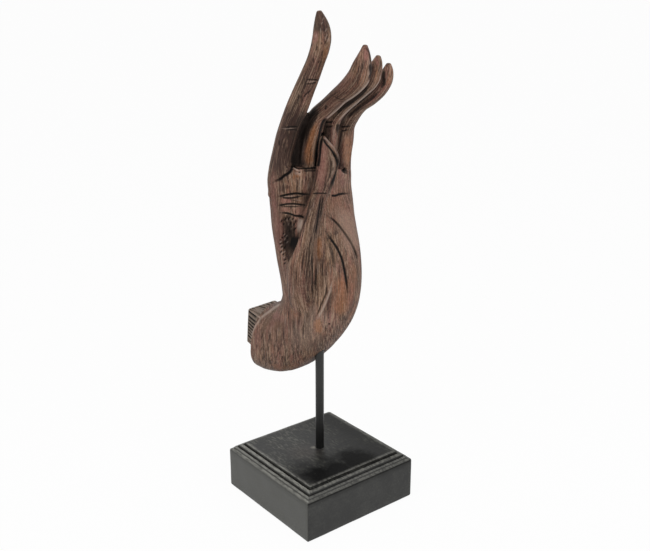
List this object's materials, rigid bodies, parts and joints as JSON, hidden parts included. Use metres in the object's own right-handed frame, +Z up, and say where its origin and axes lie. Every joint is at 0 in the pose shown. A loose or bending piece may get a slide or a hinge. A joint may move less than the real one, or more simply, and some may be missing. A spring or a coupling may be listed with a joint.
{
  "type": "hand sculpture",
  "caption": "Upright carved-look hand with curved fingers, on a thin black rod over a square stepped plinth.",
  "frame": {"origin": "centre of the felt's underside, below the rod, on the surface that the sculpture stands on", "axes": "+Z up along the rod; -Y is the front, which the palm faces; +X to the right as seen from the front"},
  "size_m": [0.127, 0.1575, 0.459],
  "materials": {
    "cast_resin": "cast resin, stained and dry-brushed to look like old carved wood",
    "brass": "turned brass",
    "black_steel": "satin black on steel",
    "black_paint": "wood with brushed satin black paint",
    "zinc_steel": "zinc-plated steel",
    "black_felt": "black self-adhesive felt"
  },
  "bodies": {
    "root": {"hand": "cast_resin", "threaded_insert": "brass", "support_rod": "black_steel", "plinth": "black_paint", "plinth_washer": "zinc_steel", "lock_washer": "zinc_steel", "plinth_nut": "zinc_steel", "felt_base": "black_felt"}
  },
  "joints": []
}
